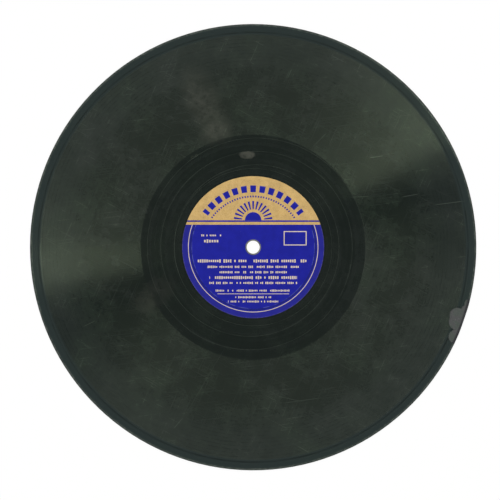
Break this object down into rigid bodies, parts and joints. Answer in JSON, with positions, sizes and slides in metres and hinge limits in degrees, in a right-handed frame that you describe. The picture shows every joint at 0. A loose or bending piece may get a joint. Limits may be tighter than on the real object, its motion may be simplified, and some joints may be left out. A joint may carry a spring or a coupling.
{
  "type": "shellac record",
  "caption": "Flat round shellac record with a spindle hole, a spiral groove on each side, sunk paper labels and a chipped rim, for playing on a turntable.",
  "frame": {"origin": "on the axis of the spindle hole, at the underside of the disc", "axes": "+Z along the spindle, out of side A; +Y towards the top of the side A label; +X to its right"},
  "size_m": [0.25, 0.25, 0.0022],
  "materials": {
    "core_stock": "coarse mineral-filled stock, matt where it is broken",
    "shellac": "greenish black pressed shellac with a fine grooved sheen",
    "label_paper": "printed paper, blue with gold, pressed into the disc"
  },
  "bodies": {
    "root": {"core": "core_stock", "facing_a": "shellac", "facing_b": "shellac", "label_a": "label_paper", "label_b": "label_paper"}
  },
  "joints": []
}
